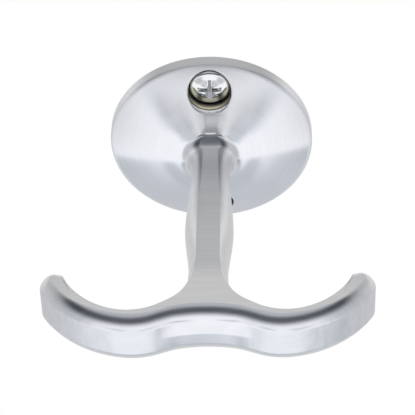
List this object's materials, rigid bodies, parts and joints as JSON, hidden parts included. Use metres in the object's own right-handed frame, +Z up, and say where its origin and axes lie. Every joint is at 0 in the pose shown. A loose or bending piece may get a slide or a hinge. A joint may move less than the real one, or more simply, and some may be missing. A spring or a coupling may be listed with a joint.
{
  "type": "coat hook",
  "caption": "Double coat hook for a ceiling or the underside of a shelf: round domed rosette, tapering stem and anchor-shaped arms, with its mounting screws.",
  "frame": {"origin": "middle of the rosette's flat mounting face", "axes": "+Z up, out of the mounting face into the ceiling; X along the two arms; Y along the depth of the arms and the line of the two screws"},
  "size_m": [0.0616, 0.04, 0.0638],
  "materials": {
    "satin_casting": "satin brushed",
    "plated_screws": "bright plated"
  },
  "bodies": {
    "root": {"hook_casting": "satin_casting", "mounting_screws": "plated_screws"}
  },
  "joints": []
}
